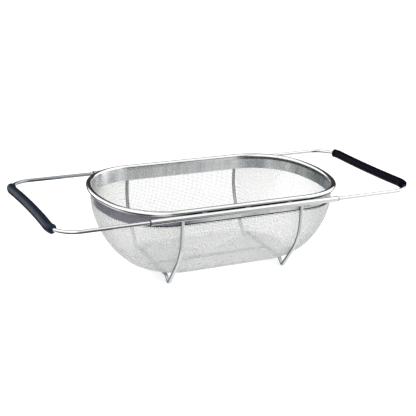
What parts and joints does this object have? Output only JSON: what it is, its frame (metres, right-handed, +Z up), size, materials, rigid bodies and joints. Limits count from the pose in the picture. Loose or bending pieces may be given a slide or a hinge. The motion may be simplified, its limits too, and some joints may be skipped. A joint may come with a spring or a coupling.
{
  "type": "over-the-sink mesh strainer",
  "caption": "Deep oval wire-mesh strainer basket with a rolled steel rim, wire feet and two pull-out handles with soft grips.",
  "frame": {"origin": "on the surface the strainer stands on, under the middle of the basket", "axes": "+X to the right along the basket and the handles' travel, +Y to the rear, +Z up"},
  "size_m": [0.5376, 0.2238, 0.1177],
  "materials": {
    "polished_steel": "polished stainless steel",
    "band_steel": "polished strip with a fine lengthwise grain",
    "mesh": "fine woven stainless wire",
    "grip_rubber": "matt, fine-pored",
    "bush_plastic": "moulded nylon"
  },
  "bodies": {
    "basket": {"mesh_bowl": "mesh", "rim_band": "band_steel", "front_tube": "polished_steel", "rear_tube": "polished_steel", "front_left_bush": "bush_plastic", "front_right_bush": "bush_plastic", "rear_left_bush": "bush_plastic", "rear_right_bush": "bush_plastic", "front_rim_welds": "polished_steel", "rear_rim_welds": "polished_steel", "left_leg_wire": "polished_steel", "right_leg_wire": "polished_steel", "left_leg_welds": "polished_steel", "right_leg_welds": "polished_steel", "base_wire": "polished_steel", "base_welds": "polished_steel"},
    "left_handle": {"left_handle_rod": "polished_steel", "left_grip": "grip_rubber", "front_left_rod_stop": "polished_steel", "rear_left_rod_stop": "polished_steel"},
    "right_handle": {"right_handle_rod": "polished_steel", "right_grip": "grip_rubber", "front_right_rod_stop": "polished_steel", "rear_right_rod_stop": "polished_steel"}
  },
  "joints": [
    {"name": "left_handle_slide", "type": "slide", "parent": "basket", "child": "left_handle", "axis": [-1, 0, 0], "range_m": [-0.074, 0.045]},
    {"name": "right_handle_slide", "type": "slide", "parent": "basket", "child": "right_handle", "axis": [1, 0, 0], "range_m": [-0.074, 0.045]}
  ]
}
